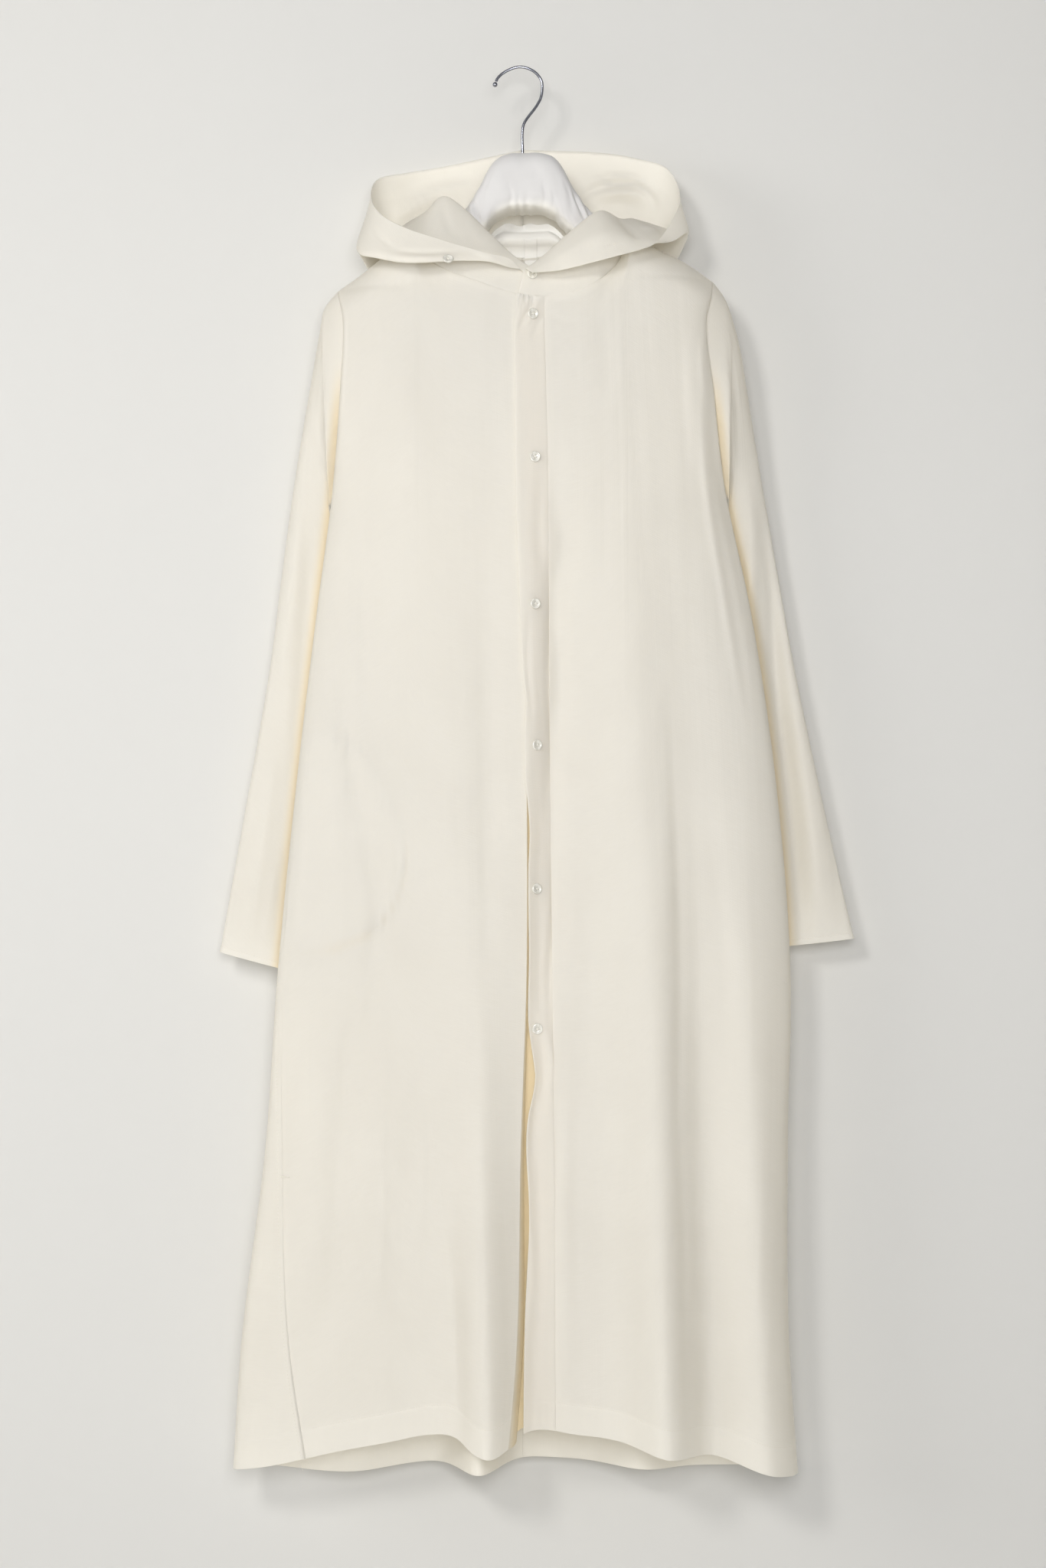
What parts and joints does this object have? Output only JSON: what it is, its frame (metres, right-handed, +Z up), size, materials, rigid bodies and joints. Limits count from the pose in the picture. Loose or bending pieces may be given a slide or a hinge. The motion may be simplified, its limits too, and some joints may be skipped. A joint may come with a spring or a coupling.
{
  "type": "hoodie dress on a padded hanger",
  "caption": "Long button-front dress with a loose hood, long sleeves and a flared hem, hung flat on a padded hanger with a wire hook.",
  "frame": {"origin": "underside of the wire at the top of the hanger's hook, where a rail carries it", "axes": "+Z up, front of the dress faces -Y, +X is the viewer's right"},
  "size_m": [0.66, 0.1655, 1.456],
  "materials": {
    "ivory_cloth": "light soft sheen, faint slub",
    "shell_button": "polished shell",
    "white_cover": "matt woven cover",
    "bright_wire": "polished wire"
  },
  "bodies": {
    "root": {"front_left": "ivory_cloth", "front_right": "ivory_cloth", "band_left": "ivory_cloth", "band_right": "ivory_cloth", "back_left": "ivory_cloth", "back_right": "ivory_cloth", "sleeve_left": "ivory_cloth", "sleeve_right": "ivory_cloth", "hood_left": "ivory_cloth", "hood_right": "ivory_cloth", "pocket_bag": "ivory_cloth", "button_1": "shell_button", "button_2": "shell_button", "button_3": "shell_button", "button_4": "shell_button", "button_5": "shell_button", "button_6": "shell_button", "button_7": "shell_button", "button_8": "shell_button", "hanger_pad": "white_cover", "hanger_hook": "bright_wire", "hook_tip": "bright_wire"}
  },
  "joints": []
}
